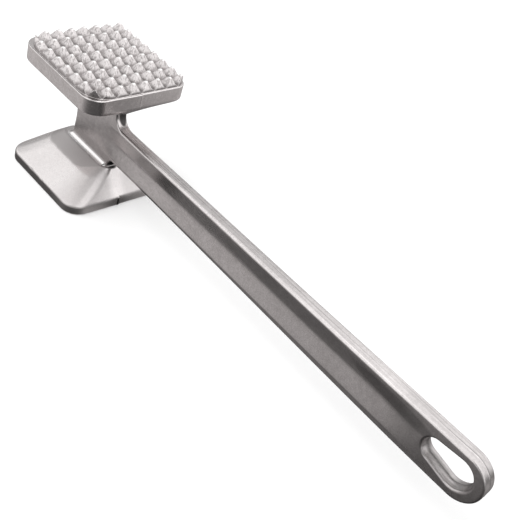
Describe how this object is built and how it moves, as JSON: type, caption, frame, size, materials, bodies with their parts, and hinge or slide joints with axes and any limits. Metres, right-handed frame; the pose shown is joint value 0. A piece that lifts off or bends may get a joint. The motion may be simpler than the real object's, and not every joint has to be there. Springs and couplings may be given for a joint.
{
  "type": "meat mallet",
  "caption": "One-piece cast aluminium meat mallet with a toothed face, an opposite smooth face and a fluted handle ending in a hang eye.",
  "frame": {"origin": "centre of the smooth face, in the plane of that face", "axes": "+X along the handle towards the hang eye, +Y across the handle's broad faces, +Z from the smooth face to the toothed face"},
  "size_m": [0.3118, 0.0636, 0.0785],
  "materials": {
    "handle": "tumbled satin casting",
    "toothed_plate": "bright satin casting",
    "smooth_plate": "tumbled satin casting"
  },
  "bodies": {
    "root": {"handle": "handle", "toothed_plate": "toothed_plate", "smooth_plate": "smooth_plate"}
  },
  "joints": []
}
